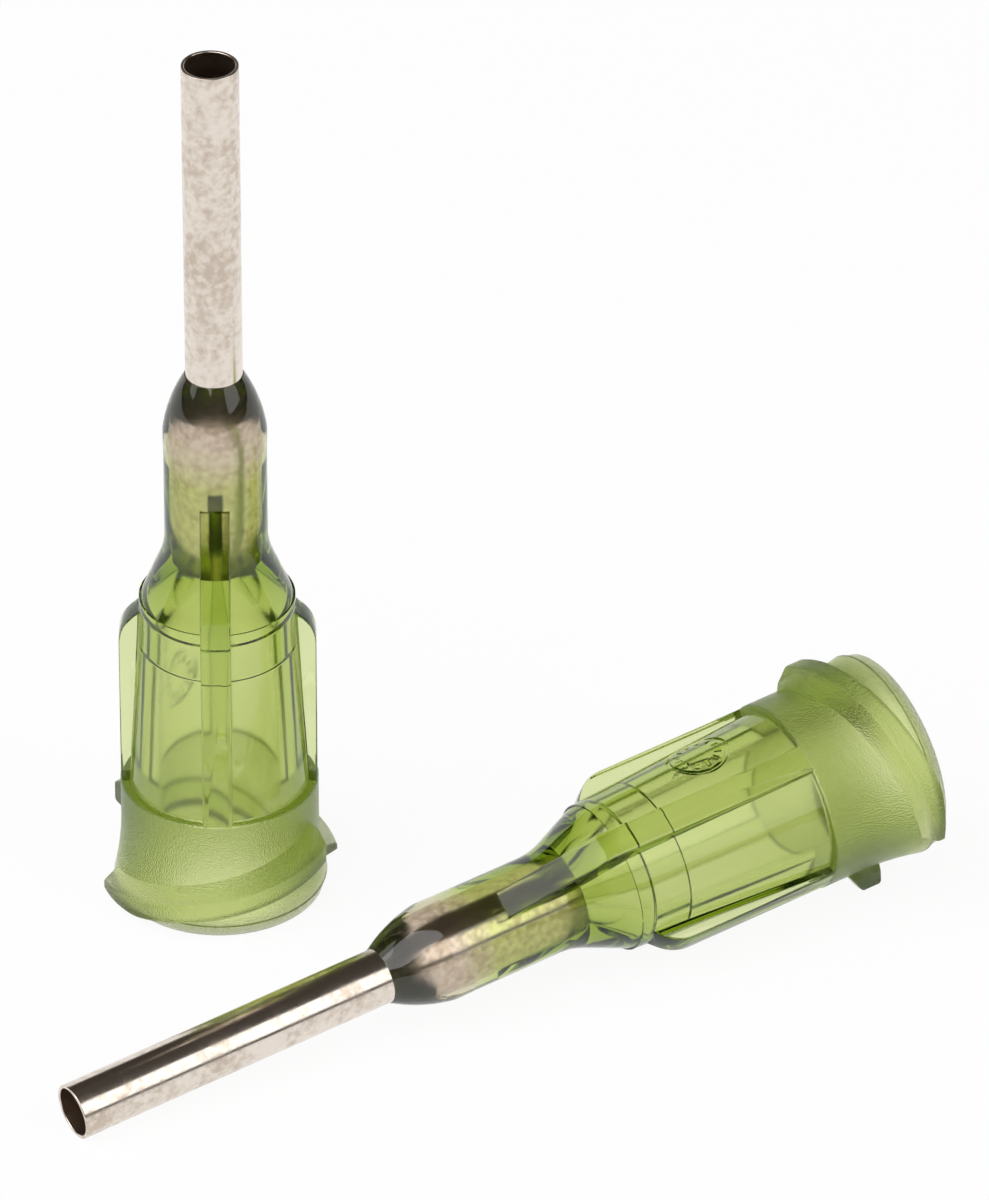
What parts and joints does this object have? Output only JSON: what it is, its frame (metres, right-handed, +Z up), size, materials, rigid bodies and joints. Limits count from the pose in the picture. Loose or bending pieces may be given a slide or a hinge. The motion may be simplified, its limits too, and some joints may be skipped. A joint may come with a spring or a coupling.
{
  "type": "blunt dispensing tips",
  "caption": "Two identical blunt luer lock dispensing tips for glue, one standing and one lying: ribbed translucent hub, steel tube and adhesive nose.",
  "frame": {"origin": "centre of the standing tip's open base face, which rests on the surface", "axes": "+Z up, along the standing tip's axis towards its outlet; the lying tip is to +X of it and points towards -X and -Y"},
  "size_m": [0.0283, 0.0196, 0.0306],
  "materials": {
    "hub_plastic": "glossy translucent olive green polypropylene, finely frosted at the skirt and rim",
    "cannula_steel": "passivated stainless steel tube, lightly mottled",
    "adhesive": "clear cured epoxy adhesive, glossy"
  },
  "bodies": {
    "standing_tip": {"standing_hub": "hub_plastic", "standing_cannula": "cannula_steel", "standing_adhesive": "adhesive"},
    "lying_tip": {"lying_hub": "hub_plastic", "lying_cannula": "cannula_steel", "lying_adhesive": "adhesive"}
  },
  "joints": [
    {"name": "lying_tip_lift", "type": "slide", "parent": "standing_tip", "child": "lying_tip", "axis": [0, 0, 1], "range_m": [0, 0.045]}
  ]
}
